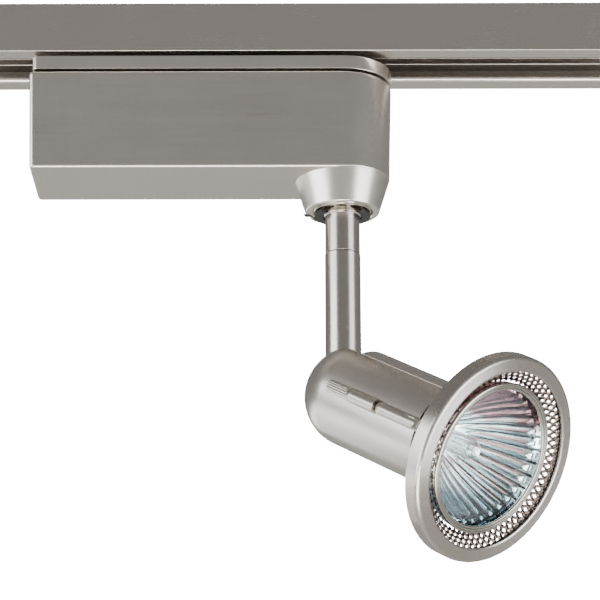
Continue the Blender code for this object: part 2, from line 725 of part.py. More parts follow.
def make_pivot(head):
    """Cross screw, nut and the two friction washers between tongue and ears."""
    bolt = [(0, -9.0), (PIVOT_SCREW_RADIUS, -9.0), (PIVOT_SCREW_RADIUS, 6.1)]
    bolt += [(3.7, 6.1), (3.7, 7.8), (3.0, 8.4), (0, 8.4)]
    part("pivot_screw", lathe(bolt, 24, "Y"), bright_steel(), head)
    nut = part("pivot_nut", rod(4.0, -8.6, -6.1, 6, "Y"), bright_steel(), head)
    cut(nut, rod(PIVOT_SCREW_RADIUS + 0.3, -9.5, -5, 24, "Y"))
    for label, side in (("front", -1), ("rear", 1)):
        ends = sorted((side * (TONGUE_HALF + GAP), side * (EAR_INSIDE - GAP)))
        washer = tube(PIVOT_SCREW_RADIUS + GAP, 4.4, ends[0], ends[1], 24, "Y")
        part(f"pivot_washer_{label}", washer, bright_steel(), head)


def make_socket(head, dome):
    """Ceramic two-pin socket and the two screws that fix it to the bracket."""
    outline = arc(6.5, -90, 90, 10, (4.5, 0)) + arc(6.5, 90, 270, 10, (-4.5, 0))
    socket = part("lamp_socket", prism(outline, SOCKET_BACK, SOCKET_FRONT, "X"), ceramic(), head, dome)
    for side in (-1, 1):
        hole = rod(1.1, SOCKET_BACK + 3, SOCKET_FRONT + 1, 12, "X")
        cut(socket, shifted(hole, (0, side * PIN_SPREAD, 0)))
        hole = rod(1.4, SOCKET_BACK - 1, 23, 12, "X")
        cut(socket, shifted(hole, (0, side * SOCKET_SCREW_Y, 0)))
    for label, side in (("front", -1), ("rear", 1)):
        screw = [(0, 11.6), (2.0, 11.6), (2.2, 13.1), (1.1, 13.1), (1.1, 22.0), (0, 22.0)]
        place = (dome[0], side * SOCKET_SCREW_Y, 0)
        part(f"socket_screw_{label}", lathe(screw, 16, "X"), bright_steel(), head, place)


def lamp_depth(points):
    """Lamp profile as (radius, depth behind its front) turned into distances along the head."""
    return [(radius, LAMP_FRONT - depth) for radius, depth in points]


def make_lamp(head, dome):
    """Two-pin reflector lamp: fluted bowl, cover glass, capsule, base and pins."""
    outside = [(LAMP_RADIUS, 0), (LAMP_RADIUS, 2.6), (24.2, 4), (22.3, 8), (19.9, 12), (16.9, 16)]
    outside += [(15.8, 17.3), (13.4, 20), (10.4, 24), (8.6, 27)]
    inside = [(4.6, 27), (5.2, 24.5), (8.2, 22), (12.0, 18), (15.2, 14), (17.8, 10), (19.6, 6), (20.8, 2.2)]
    inside += [(24.0, 2.2), (24.0, 0)]
    part("lamp_reflector", lathe(lamp_depth(outside + inside), 36, "X"), dichroic(), head, dome)
    cover = lamp_depth([(0, 0.3), (23.2, 0.3), (23.7, 0.6), (23.7, 1.9), (0, 1.9)])
    part("lamp_cover_glass", lathe(cover, 36, "X"), glass(), head, dome)
    capsule = [(r, x) for x, r in arc(3.7, 90, 0, 5, (LAMP_FRONT - 9.7, 0))]
    profile = [(0, LAMP_FRONT - 27), (3.7, LAMP_FRONT - 27)] + capsule
    part("lamp_capsule", lathe(profile, 14, "X"), glass(), head, dome)
    base = block((27.7, -8.4, -6.0), (LAMP_FRONT - 27.3, 8.4, 6.0))
    part("lamp_base", base, ceramic(), head, dome)
    for label, side in (("front", -1), ("rear", 1)):
        pin = rod(0.75, 20.2, 27.4, 12, "X")
        part(f"lamp_pin_{label}", pin, bright_steel(), head, (dome[0], side * PIN_SPREAD, 0))


def make_thumbscrew(screw_axis, dome):
    """Knurled captive screw: every other vertex of the knob's rim is cut back."""
    profile = [(0, KNOB_BACK), (KNOB_RADIUS - 0.4, KNOB_BACK), (KNOB_RADIUS, KNOB_BACK + 0.4)]
    profile += [(KNOB_RADIUS, KNOB_FRONT - 0.4), (KNOB_RADIUS - 0.4, KNOB_FRONT), (ROD_RADIUS, KNOB_FRONT)]
    profile += [(ROD_RADIUS, ROD_FRONT), (0, ROD_FRONT)]
    bm = lathe(profile, 32, "X")
    for vertex in bm.verts:
        radius = math.hypot(vertex.co.y, vertex.co.z)
        tooth = round(math.degrees(math.atan2(vertex.co.z, vertex.co.y)) / 11.25)
        if radius > KNOB_RADIUS - 0.1 and tooth % 2:
            vertex.co.y *= 0.87
            vertex.co.z *= 0.87
    part("thumbscrew", bm, nickel(), screw_axis, (dome[0], 0, 0))


def make_front(head, side, dome):
    """What comes off to change the lamp: ring, grille, lamp retainer and the screwed leg."""
    wall = RING_RADIUS - RING_WALL
    brow = RING_FRONT - RING_FALL
    edge = arc(1.45, 0, 90, 5, (RING_RADIUS - 1.45, brow - 1.45))
    profile = [(wall, RING_BACK), (RING_RADIUS, RING_BACK)] + edge
    profile += [(RING_INNER + 0.7, RING_FRONT), (RING_INNER, RING_FRONT - 0.5)]
    profile += [(RING_INNER, RING_FRONT - RING_FACE), (wall, RING_FRONT - RING_FACE)]
    part("trim_ring", lathe(profile, 48, "X"), nickel(), head, dome)
    outer = wall - GAP - 0.1
    front = GRILLE_FLANGE + GRILLE_SHEET
    sheet = [(GRILLE_INNER, GRILLE_BACK), (GRILLE_BEND, GRILLE_FLANGE), (outer, GRILLE_FLANGE)]
    sheet += [(outer, front), (GRILLE_BEND - 0.1, front), (GRILLE_INNER, GRILLE_BACK + GRILLE_SHEET)]
    part("perforated_grille", lathe(sheet, 48, "X"), bright_steel(), head, dome)
    back = LAMP_FRONT + GAP
    retainer = [(RETAINER_INNER, back), (RETAINER_OUTER, back), (RETAINER_OUTER, back + 0.8)]
    retainer += [(RETAINER_OUTER - 0.8, back + 1.2), (23.6, back + 1.1), (RETAINER_INNER, back + 0.6)]
    part("lamp_retainer", lathe(retainer, 40, "X"), bright_steel(), head, dome)
    make_leg(side, dome)


def make_leg(side, dome):
    """Half-round rail along the barrel, bent out to the ring, tapped for the thumbscrew."""
    bar = part("ring_leg", leg_section(), nickel(), side, dome)
    inner = RING_RADIUS - RING_WALL - GAP
    cut(bar, prism([(45.5, -17), (49.4, -20.4), (49.4, -12), (45.5, -12)], -5, 5))
    strap = [(43, -LEG_FLOOR - 0.1), (45.8, -LEG_FLOOR - 0.1), (49.7, -20.5), (57.5, -25.5), (61.8, -29.0)]
    strap += [(64.0, -29.6), (64.0, -inner), (61.9, -inner), (60.2, -30.3), (56.4, -27.3), (49.6, -22.6)]
    strap += [(47.4, -20.8), (43, -20.6)]
    add(bar, prism(strap, -LEG_FOOT + 0.15, LEG_FOOT - 0.15))
    hole = rod(ROD_RADIUS + GAP, LEG_BACK - 1, ROD_FRONT + 0.5, 12, "X")
    cut(bar, shifted(hole, (0, -SCREW_OFFSET, 0)))


def leg_section():
    """Round-backed bar on a narrower flat foot, in (y, z)."""
    corner = math.degrees(math.asin(LEG_FOOT / LEG_RADIUS))
    section = [(-LEG_FLOOR, LEG_FOOT)] + arc(LEG_RADIUS, corner, 360 - corner, 18, (-SCREW_OFFSET, 0))
    return prism(section + [(-LEG_FLOOR, -LEG_FOOT)], LEG_BACK, LEG_BEND, "X")


def head_matrix():
    """Head frame on the pivot: X along the lamp, Y along the tilt axis, Z out through the slot."""
    turn = Matrix.Rotation(math.radians(HEAD_BEARING), 4, "Z")
    tilt = Matrix.Rotation(math.radians(HEAD_TILT), 4, "Y")
    return Matrix.Translation(Vector((0, 0, PIVOT_Z)) * MM) @ turn @ tilt


def main():
    clear_scene()
    slider = empty("fixture_slide")
    turner = empty("pan_axis", slider)
    head = empty("tilt_axis", turner, matrix=head_matrix())
    side = empty("side_frame", head, matrix=side_matrix())
    screw_axis = empty("thumbscrew_axis", side, (0, -SCREW_OFFSET, 0))
    bearing = Matrix.Rotation(math.radians(HEAD_BEARING), 4, "Z")
    holder = empty("knuckle_frame", turner, matrix=Matrix.Translation((0, 0, PIVOT_Z * MM)) @ bearing)
    dome = (DOME_AHEAD, 0, 0)
    make_track()
    make_plate(slider)
    make_neck(slider)
    make_box(slider)
    make_electronics(slider)
    make_swivel_seat(slider)
    make_stem(turner)
    make_knuckle(holder)
    make_head_shell(head, dome)
    make_slot_cover(head, dome)
    make_bracket(head, dome)
    make_pivot(head)
    make_socket(head, dome)
    make_lamp(head, dome)
    make_thumbscrew(screw_axis, dome)
    make_front(head, side, dome)


main()
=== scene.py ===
"""Studio view of the track spotlight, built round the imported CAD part.

Lengths are in millimetres unless a name says otherwise. Row frame: +X along the track, +Z up.
Head pieces are made in the head's own frame: X along the lamp, Y along the tilt axis.
"""
import math

import bmesh
import bpy
from mathutils import Matrix, Vector


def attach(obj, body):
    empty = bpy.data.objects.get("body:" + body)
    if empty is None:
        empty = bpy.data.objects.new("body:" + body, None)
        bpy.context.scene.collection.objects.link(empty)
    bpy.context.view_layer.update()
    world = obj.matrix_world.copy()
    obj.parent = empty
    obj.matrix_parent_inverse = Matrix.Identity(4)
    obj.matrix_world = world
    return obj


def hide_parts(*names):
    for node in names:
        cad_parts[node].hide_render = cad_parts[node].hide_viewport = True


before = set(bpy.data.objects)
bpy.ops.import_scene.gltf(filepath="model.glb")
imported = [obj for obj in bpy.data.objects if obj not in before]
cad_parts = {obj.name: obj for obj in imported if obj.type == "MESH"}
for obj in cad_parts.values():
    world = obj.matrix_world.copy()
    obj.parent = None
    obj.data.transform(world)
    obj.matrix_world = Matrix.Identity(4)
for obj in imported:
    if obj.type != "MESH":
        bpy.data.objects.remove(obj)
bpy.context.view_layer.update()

MM = 0.001
IDENTITY = Matrix.Identity(4)

# Studio, in metres
FLOOR_LEVEL = -1.2
LIT_CENTRE = (0, -0.7, 0)
LIT_RADIUS = 0.25
LIT_END = 0.6
LIT_STRENGTH = 10.0
FLOOR_STRENGTH = 0.3
BELOW = 0.7
ABOVE = 0.3
BACKDROP = 25.0

# Body frames
PIVOT_Z = -137.1
DOME_AHEAD = 6.1
HEAD = Matrix.Translation((0, 0, PIVOT_Z * MM)) @ Matrix.Rotation(math.radians(-42.4), 4, "Z")
HEAD = HEAD @ Matrix.Rotation(math.radians(28.6), 4, "Y") @ Matrix.Translation((DOME_AHEAD * MM, 0, 0))

# Box
BOX_HALF = 17.6
BOX_LEFT = -109.0
BOX_TOP = -25.65
BOX_BOTTOM = -61.25
BOX_DRAFT = 0.97
BOSS_BOTTOM = -72.35
BOSS_BORE = 10.6
TAB_ANGLE = 162.0

# Head
DOME_RADIUS = 17.4
HEAD_WALL = 1.2
HEAD_FRONT = 47.6
SLOT_HALF = 8.7
SLOT_FRONT = 42.6
SCREW_OFFSET = 18.9
LEG_RADIUS = 2.2
LEG_FOOT = 1.75
LEG_FLOOR = 17.15
NOTCH_BACK = 45.7
NOTCH_HALF_WIDTH = 7.4
SIDE = HEAD @ Matrix.Rotation(math.radians(-5.2), 4, "X")
LAMP_FRONT = 64.7
RING_BACK = 61.9
RING_FRONT = 68.2
RING_RADIUS = 34.8
RING_INNER = 29.7
FLUTES = 34

# Grille
CONE_RADIUS = 27.0
CONE_HEIGHT = 64.53
CONE_SLOPE = 0.8
GRILLE_INNER = 25.4
GRILLE_BEND = 29.4
GRILLE_OUTER = 30.6
HOLE_PITCH = 1.28
HOLES_ROUND = 66


# ---------------------------------------------------------------- shader tools

class Shader:
    """A node tree being built."""

    def __init__(self, name):
        self.material = bpy.data.materials.new(name)
        self.material.use_nodes = True
        self.tree = self.material.node_tree
        self.tree.nodes.clear()
        self.out = self.node("ShaderNodeOutputMaterial")

    def node(self, kind, **settings):
        made = self.tree.nodes.new(kind)
        for key, value in settings.items():
            setattr(made, key, value)
        return made

    def link(self, source, target):
        self.tree.links.new(source, target)

    def value(self, node, socket, value):
        """Wire a socket in, or set a plain value on the input."""
        if isinstance(value, bpy.types.NodeSocket):
            self.link(value, node.inputs[socket])
        else:
            node.inputs[socket].default_value = value

    def noise(self, scale, size=1.0, detail=3.0):
        """Noise over object coordinates stretched by three scales, centred on 0.5."""
        place = self.node("ShaderNodeTexCoord")
        stretch = self.node("ShaderNodeMapping")
        stretch.inputs["Scale"].default_value = scale
        self.link(place.outputs["Object"], stretch.inputs["Vector"])
        noise = self.node("ShaderNodeTexNoise")
        noise.inputs["Scale"].default_value = size
        noise.inputs["Detail"].default_value = detail
        noise.inputs["Roughness"].default_value = 0.6
        self.link(stretch.outputs["Vector"], noise.inputs["Vector"])
        return noise.outputs["Fac"]

    def spread(self, source, low, high, start=0.3, end=0.7):
        """Map a grey value onto a range, held at its ends."""
        ramp = self.node("ShaderNodeMapRange")
        self.value(ramp, "Value", source)
        for key, number in (("From Min", start), ("From Max", end), ("To Min", low), ("To Max", high)):
            ramp.inputs[key].default_value = number
        return ramp.outputs["Result"]

    def sum(self, first, second, operation="ADD"):
        maths = self.node("ShaderNodeMath", operation=operation)
        self.value(maths, 0, first)
        self.value(maths, 1, second)
        return maths.outputs[0]

    def blend(self, factor, first, second):
        """Mix two colours."""
        mix = self.node("ShaderNodeMix", data_type="RGBA")
        self.value(mix, 0, factor)
        self.value(mix, 6, first)
        self.value(mix, 7, second)
        return mix.outputs[2]

    def bump(self, height, distance_mm, strength=1.0):
        made = self.node("ShaderNodeBump")
        made.inputs["Strength"].default_value = strength
        made.inputs["Distance"].default_value = distance_mm * MM
        self.link(height, made.inputs["Height"])
        return made.outputs["Normal"]

    def worn_edges(self):
        """0 on flats rising to 1 on outward edges."""
        shape = self.node("ShaderNodeNewGeometry")
        return self.spread(shape.outputs["Pointiness"], 0.0, 1.0, 0.515, 0.58)


def shade(colour, factor):
    return (colour[0] * factor, colour[1] * factor, colour[2] * factor, 1.0)


def metal(name, colour, rough, grain, bump=0.02, wear=1.25, contrast=0.1, tangent=None, blur=0.0):
    """Metal with a fine directional grain, a soft change of polish and lighter worn edges."""
    made = Shader(name)
    fine = made.noise(grain, 1.0, 4.0)
    broad = made.noise((1, 1, 1), 45.0, 2.0)
    shader = made.node("ShaderNodeBsdfPrincipled")
    tone = made.blend(made.spread(fine, 0, 1), shade(colour, 1 - contrast), shade(colour, 1 + contrast))
    tone = made.blend(made.worn_edges(), tone, shade(colour, wear))
    made.value(shader, "Base Color", tone)
    shader.inputs["Metallic"].default_value = 1.0
    polish = made.sum(made.spread(fine, rough * 0.95, rough * 1.05), made.spread(broad, -0.015, 0.015))
    made.value(shader, "Roughness", polish)
    made.value(shader, "Normal", made.bump(fine, bump, 0.6))
    if tangent:
        shader.inputs["Anisotropic"].default_value = blur
        shader.inputs["Anisotropic Rotation"].default_value = 0.25
        swing = made.node("ShaderNodeTangent", direction_type="RADIAL", axis=tangent)
        made.value(shader, "Tangent", swing.outputs[0])
    made.link(shader.outputs[0], made.out.inputs[0])
    return made.material


def solid(name, colour, rough, size=400.0, bump=0.03, sheen=0.12):
    """Plastic, ceramic or board: fine mottling and faint relief."""
    made = Shader(name)
    mottle = made.noise((1, 1, 1), size, 4.0)
    shader = made.node("ShaderNodeBsdfPrincipled")
    tone = made.blend(made.spread(mottle, 0, 1), shade(colour, 1 - sheen), shade(colour, 1 + sheen))
    made.value(shader, "Base Color", made.blend(made.worn_edges(), tone, shade(colour, 1.2)))
    made.value(shader, "Roughness", made.spread(mottle, rough * 0.85, min(rough * 1.2, 1)))
    made.value(shader, "Normal", made.bump(mottle, bump, 0.5))
    made.link(shader.outputs[0], made.out.inputs[0])
    return made.material


def thin_glass(name, tint, rough=0.02, sheen=0.5, rim=0.75, base=0.04):
    """Clear glass that lets rays straight on and reflects more at a glance, with faint ripple."""
    made = Shader(name)
    ripple = made.noise((1, 1, 1), 260.0, 2.0)
    clear = made.node("ShaderNodeBsdfTransparent")
    edge = made.node("ShaderNodeLayerWeight")
    body = made.blend(made.spread(ripple, 0, 1), shade(tint, 0.97), shade(tint, 1.0))
    turned = made.sum(edge.outputs["Facing"], 2.0, "POWER")
    made.value(clear, "Color", made.blend(turned, body, shade(tint, rim)))
    gloss = made.node("ShaderNodeBsdfGlossy")
    made.value(gloss, "Color", (1, 1, 1, 1))
    made.value(gloss, "Roughness", made.spread(ripple, rough * 0.6, rough * 1.6))
    made.value(gloss, "Normal", made.bump(ripple, 0.02, 0.3))
    glance = made.sum(made.sum(edge.outputs["Facing"], 4.0, "POWER"), sheen, "MULTIPLY")
    mix = made.node("ShaderNodeMixShader")
    made.link(made.sum(glance, base), mix.inputs[0])
    made.link(clear.outputs[0], mix.inputs[1])
    made.link(gloss.outputs[0], mix.inputs[2])
    made.link(mix.outputs[0], made.out.inputs[0])
    return made.material


NICKEL = (0.505, 0.475, 0.442)
BOX_NICKEL = (0.68, 0.645, 0.60)
ALONG = (25, 2600, 2600)
EVEN = (900, 900, 900)
MATERIALS = {
    "nickel_long": metal("nickel_long", (0.54, 0.51, 0.475), 0.26, ALONG, 0.003, contrast=0.04),
    # Painted shade: a darker, rougher copy of the track's nickel for its shadowed inner pockets.
    "nickel_painted_shade": metal("nickel_painted_shade", (0.26, 0.245, 0.215), 0.5, ALONG, 0.003, contrast=0.08),
    # Painted shade: a near-black copy of the nickel for the shadowed inside of the head's barrel.
    "painted_shade_inside": metal("nickel_painted_shade_dark", (0.07, 0.066, 0.06), 0.55, EVEN, 0.004, contrast=0.1),
    "nickel_box": metal("nickel_box", BOX_NICKEL, 0.3, (30, 900, 900), 0.0012, contrast=0.025),
    "nickel_turned": metal("nickel_turned", NICKEL, 0.23, (200, 200, 900), 0.0012, contrast=0.025),
    "nickel_head": metal("nickel_head", NICKEL, 0.3, (60, 900, 900), 0.0004, 1.1, 0.02),
    "nickel_ring": metal("nickel_ring", NICKEL, 0.27, (900, 500, 500), 0.0006, 1.05, 0.015, "X", 0.8),
    "grille_metal": metal("grille_metal", (0.10, 0.08, 0.072), 0.25, EVEN, 0.002, 1.8),
    "retainer_metal": metal("retainer_metal", (0.50, 0.49, 0.45), 0.16, EVEN, 0.002, 1.3),
    "seat_metal": metal("seat_metal", (0.56, 0.51, 0.42), 0.22, EVEN, 0.002),
    "brushed_nickel": metal("nickel_plain", NICKEL, 0.33, (1500, 1500, 1500), 0.003, contrast=0.05),
    "bright_steel": metal("bright_steel_fine", (0.68, 0.67, 0.65), 0.2, (1800, 1800, 1800), 0.006),
    "black_steel": metal("black_steel_fine", (0.045, 0.045, 0.045), 0.35, (1500, 1500, 1500), 0.01),
    "brass": metal("brass_fine", (0.66, 0.53, 0.32), 0.28, (1500, 1500, 1500), 0.01),
    "copper": metal("copper_drawn", (0.74, 0.40, 0.26), 0.3, (40, 1500, 1500), 0.01),
    "aluminium": metal("aluminium_rolled", (0.66, 0.66, 0.67), 0.35, (60, 1200, 1200), 0.01),
    "dark_plastic": solid("dark_plastic_fine", (0.035, 0.035, 0.035), 0.5),
    "ceramic": solid("ceramic_fine", (0.80, 0.77, 0.70), 0.55, 900),
    "board_green": solid("board_fine", (0.04, 0.19, 0.08), 0.45, 900),
    "ferrite": solid("ferrite_fine", (0.05, 0.05, 0.055), 0.6, 1200, 0.05),
    "film_yellow": solid("film_fine", (0.62, 0.43, 0.08), 0.4, 700),
    "wire_sleeve": solid("sleeve_fine", (0.45, 0.05, 0.04), 0.45, 900),
    "lamp_glass": thin_glass("lamp_glass_clear", (0.90, 0.97, 0.98)),
    "dichroic_coating": metal("coating_plain", (0.70, 0.74, 0.78), 0.1, EVEN, 0.004),
}


# ---------------------------------------------------------------- mesh tools

def arc(radius, start, end, steps, centre=(0.0, 0.0)):
    """Points along an arc, ends included, angles in degrees."""
    points = []
    for step in range(steps + 1):
        angle = math.radians(start + (end - start) * step / steps)
        points.append((centre[0] + radius * math.cos(angle), centre[1] + radius * math.sin(angle)))
    return points


def soften(points, radius, closed=True, steps=4):
    """Round the corners of an outline."""
    out = []
    count = len(points)
    for index, point in enumerate(points):
        if not closed and index in (0, count - 1):
            out.append(tuple(point))
            continue
        corner = Vector(point)
        before = Vector(points[index - 1]) - corner
        after = Vector(points[(index + 1) % count]) - corner
        reach = min(radius, before.length * 0.45, after.length * 0.45)
        if reach < 0.02 or before.angle(after) > math.radians(170):
            out.append(tuple(point))
            continue
        start = corner + before.normalized() * reach
        end = corner + after.normalized() * reach
        for step in range(steps + 1):
            t = step / steps
            out.append(tuple(start * (1 - t) ** 2 + corner * (2 * t * (1 - t)) + end * t * t))
    return out


def skin(bm, first, second):
    """Faces between two rings; a ring of one vertex is a pole."""
    count = max(len(first), len(second))
    for index in range(count):
        after = (index + 1) % count
        corners = [first[index % len(first)], first[after % len(first)]]
        corners += [second[after % len(second)], second[index % len(second)]]
        bm.faces.new(list(dict.fromkeys(corners)))


def turn_to(bm, axis):
    """Swing a mesh made along +Z so that it lies along +X or +Y."""
    turns = {"X": (90, "Y"), "Y": (-90, "X")}
    if axis in turns:
        angle, about = turns[axis]
        bmesh.ops.transform(bm, matrix=Matrix.Rotation(math.radians(angle), 4, about), verts=bm.verts)
    return bm


def lathe(profile, segments=96, axis="Z", shape=None):
    """Revolve (radius, height) points; shape(radius, height, angle) may change the radius."""
    bm = bmesh.new()
    circle = [2 * math.pi * step / segments for step in range(segments)]
    rings = []
    for radius, height in profile:
        angles = circle if radius > 1e-6 else circle[:1]
        ring = []
        for angle in angles:
            here = shape(radius, height, angle) if shape else radius
            ring.append(bm.verts.new((here * math.cos(angle), here * math.sin(angle), height)))
        rings.append(ring)
    if len(rings[0]) > 1:
        rings.append(rings[0])
    for first, second in zip(rings, rings[1:]):
        if len(first) > 1 or len(second) > 1:
            skin(bm, first, second)
    return turn_to(bm, axis)


def rod(radius, low, high, segments=48, axis="Z", edge=0.0):
    profile = [(0, low), (radius, low), (radius, high), (0, high)]
    return lathe(soften(profile, edge, False) if edge else profile, segments, axis)


def loft(sections):
    """Join equal outlines into one closed body with a cap on each end."""
    bm = bmesh.new()
    rings = [[bm.verts.new(point) for point in section] for section in sections]
    for first, second in zip(rings, rings[1:]):
        skin(bm, first, second)
    bm.faces.new(rings[0][::-1])
    bm.faces.new(rings[-1])
    return bm


def prism(outline, low, high, axis="Z"):
    """Extrude an outline: (x, y) along Z, (y, z) along X or (x, z) along Y."""
    order = {"X": (1, 2, 0), "Y": (0, 2, 1), "Z": (0, 1, 2)}[axis]
    sections = []
    for level in (low, high):
        section = []
        for first, second in outline:
            point = [0.0, 0.0, 0.0]
            point[order[0]] = first
            point[order[1]] = second
            point[order[2]] = level
            section.append(point)
        sections.append(section)
    return loft(sections)


def block(low, high):
    outline = [(low[0], low[1]), (high[0], low[1]), (high[0], high[1]), (low[0], high[1])]
    return prism(outline, low[2], high[2])


def shifted(bm, move):
    bmesh.ops.translate(bm, vec=Vector(move), verts=bm.verts)
    return bm


def boolean(first, second, operation="DIFFERENCE"):
    """Cut from or add to a mesh exactly, through two throwaway objects."""
    tools = []
    for bm in (first, second):
        bmesh.ops.recalc_face_normals(bm, faces=bm.faces)
        mesh = bpy.data.meshes.new("tool")
        bm.to_mesh(mesh)
        bm.free()
        item = bpy.data.objects.new("tool", mesh)
        bpy.context.scene.collection.objects.link(item)
        tools.append(item)
    step = tools[0].modifiers.new("shape", "BOOLEAN")
    step.operation = operation
    step.object = tools[1]
    step.solver = "EXACT"
    graph = bpy.context.evaluated_depsgraph_get()
    result = bmesh.new()
    result.from_mesh(tools[0].evaluated_get(graph).to_mesh())
    for item in tools:
        bpy.data.objects.remove(item)
    bmesh.ops.remove_doubles(result, verts=result.verts, dist=1e-4)
    return result


def rounded(bm, width, angle=35, steps=3):
    """Round every edge sharper than an angle."""
    bmesh.ops.dissolve_limit(bm, angle_limit=math.radians(0.5), verts=bm.verts, edges=bm.edges)
    sharp = [e for e in bm.edges if len(e.link_faces) == 2 and e.calc_face_angle() > math.radians(angle)]
    bmesh.ops.bevel(
        bm, geom=sharp, offset=width, offset_type="OFFSET", segments=steps, profile=0.5,
        affect="EDGES", clamp_overlap=True,
    )
    return bm


def piece(name, bm, material, body, nodes=(), matrix=IDENTITY, sharp=33):
    """A finished visual piece that rides on a body and stands for CAD nodes."""
    bmesh.ops.scale(bm, vec=(MM, MM, MM), verts=bm.verts)
    bmesh.ops.recalc_face_normals(bm, faces=bm.faces)
    mesh = bpy.data.meshes.new(name)
    bm.to_mesh(mesh)
    bm.free()
    mesh.materials.append(MATERIALS[material])
    for face in mesh.polygons:
        face.use_smooth = True
    mesh.set_sharp_from_angle(angle=math.radians(sharp))
    item = bpy.data.objects.new(name, mesh)
    item.matrix_world = matrix
    bpy.context.scene.collection.objects.link(item)
    level = item.modifiers.new("even", "WEIGHTED_NORMAL")
    level.keep_sharp = True
    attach(item, body)
    if nodes:
        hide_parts(*nodes)
    return item


# ---------------------------------------------------------------- track and box

def make_track():
    """Extruded channel with rounded arrises and its two ceiling holes."""
    half, wall, lip, floor, turn = 17.5, 1.6, 9.6, -18.2, 1.6
    edge = arc(turn, 270, 180, 8, (lip + turn, floor + turn))
    right = soften([(half, -3), (half, floor), edge[0]], 0.3, False)[1:-1] + edge + [(lip, floor + 1.8)]
    inner = half - wall
    cave = [(14, floor + 1.8), (inner, floor + 1.8), (inner, -11.7), (9.9, -11.7)]
    cave += [(9.9, -9.2), (inner, -9.2), (inner, -wall), (14, -wall)]
    right += soften(cave, 0.3, False)[1:-1]
    right = soften([(14, 0), (half, 0), (half, -3)], 0.3, False)[1:-1] + right
    channel = prism(right + [(-y, z) for y, z in reversed(right)], -129.0, 99.6, "X")
    for x in (-100.0, 70.0):
        channel = boolean(channel, shifted(rod(2.25, -3, 1, 32), (x, 0, 0)))
    item = piece("track_profile", channel, "nickel_long", "track", ["track_channel"])
    # Painted shade: faces inside the channel's pockets, except the rib's nose, get the darker nickel copy.
    item.data.materials.append(MATERIALS["nickel_painted_shade"])
    for face in item.data.polygons:
        y, z = abs(face.center.y) / MM, face.center.z / MM
        nose = 9.7 < y < 10.3 and -12 < z < -9
        if lip - 0.1 < y < inner + 0.1 and -16.7 < z < -1.5 and not nose:
            face.material_index = 1


def box_outline(half, left, corner, level):
    plan = arc(half, -90, 90, 48)
    plan += arc(corner, 90, 180, 8, (left + corner, half - corner))
    plan += arc(corner, 180, 270, 8, (left + corner, corner - half))
    return [(x, y, level) for x, y in plan]


def make_plate():
    sections = []
    steps = ((0.5, -19.9), (0.15, -20.05), (0, -20.4), (0, -24.6), (0.12, -24.82), (0.4, -24.9))
    for inset, level in steps:
        sections.append(box_outline(BOX_HALF - inset, BOX_LEFT + 1.2 + inset, 1.6, level))
    piece("adapter_cover", loft(sections), "nickel_box", "fixture", ["adapter_plate"])


def box_slice(level, inset):
    draft = BOX_DRAFT * (BOX_TOP - level) / (BOX_TOP - BOX_BOTTOM)
    half = BOX_HALF - draft - inset
    return box_outline(half, BOX_LEFT + draft + inset, max(1.6 - inset, 0.4), level)


def to_tab(bm):
    """Turn a mesh about the swivel to where the clip's tab is."""
    swing = Matrix.Rotation(math.radians(TAB_ANGLE - 180), 3, "Z")
    bmesh.ops.rotate(bm, matrix=swing, verts=bm.verts)
    return bm


def make_box():
    """Drafted shell with rolled lower edges, the swivel boss and its notch."""
    inside = 1.5
    sections = [box_slice(BOX_BOTTOM + inside, inside), box_slice(BOX_TOP, inside)]
    for drop, inset in ((0, 0.95), (0.12, 0.62), (0.4, 0.3), (0.8, 0.1), (1.4, 0)):
        sections.append(box_slice(BOX_TOP - drop, inset))
    edge = 1.0
    for step in range(7):
        turn = math.radians(90 * step / 6)
        sections.append(box_slice(BOX_BOTTOM + edge * (1 - math.sin(turn)), edge * (1 - math.cos(turn))))
    shell = loft(sections)
    boss = [(0, BOX_BOTTOM + 0.8), (16.45, BOX_BOTTOM + 0.8), (16.45, BOX_BOTTOM + 0.25)]
    cone = [(16.45, BOX_BOTTOM + 0.25), (12.95, BOSS_BOTTOM + 0.3), (12.5, BOSS_BOTTOM)]
    boss += soften(cone, 0.35, False)[1:]
    boss += [(BOSS_BORE + 0.25, BOSS_BOTTOM), (BOSS_BORE, BOSS_BOTTOM + 0.25)]
    boss += [(BOSS_BORE, -66.0), (0, -66.0)]
    shell = boolean(shell, lathe(boss, 128), "UNION")
    shell = boolean(shell, rod(5.3, -67, BOX_BOTTOM + 3, 64))
    notch = block((-14.7, -3, BOSS_BOTTOM - 1), (-9.4, 3, BOSS_BOTTOM + 2.0))
    shell = boolean(shell, to_tab(notch))
    piece("transformer_case", shell, "nickel_box", "fixture", ["transformer_housing"])


def make_swivel():
    """Stepped bush in the boss and the open black clip under it, its tab risen to the notch."""
    bush = [(5.2, -66.3), (10.3, -66.3), (10.3, -71.9), (9.9, -72.3), (9.2, -72.3), (8.9, -71.8)]
    bush += [(7.8, -71.8), (7.5, -71.4), (7.0, -71.1), (5.2, -71.1)]
    seat = lathe(soften(bush, 0.12), 96)
    piece("swivel_seat", seat, "seat_metal", "fixture", ["swivel_bush"])
    outer, inner, end = 9.8, 6.9, 38.0
    clip = prism(arc(outer, -end, 180 + end, 80) + arc(inner, 180 + end, -end, 60), -73.7, -72.9)
    tab = [(-9.0, -73.1), (-9.0, -73.6), (-10.2, -73.6), (-11.6, -71.95), (-13.8, -71.85), (-13.8, -71.3)]
    tab = prism(tab + [(-11.9, -71.35), (-10.2, -72.95)], -1.2, 1.2, "Y")
    clip = rounded(boolean(clip, to_tab(tab), "UNION"), 0.1, 40, 2)
    piece("swivel_clip", clip, "black_steel", "fixture", ["retaining_clip"])


# ---------------------------------------------------------------- stem

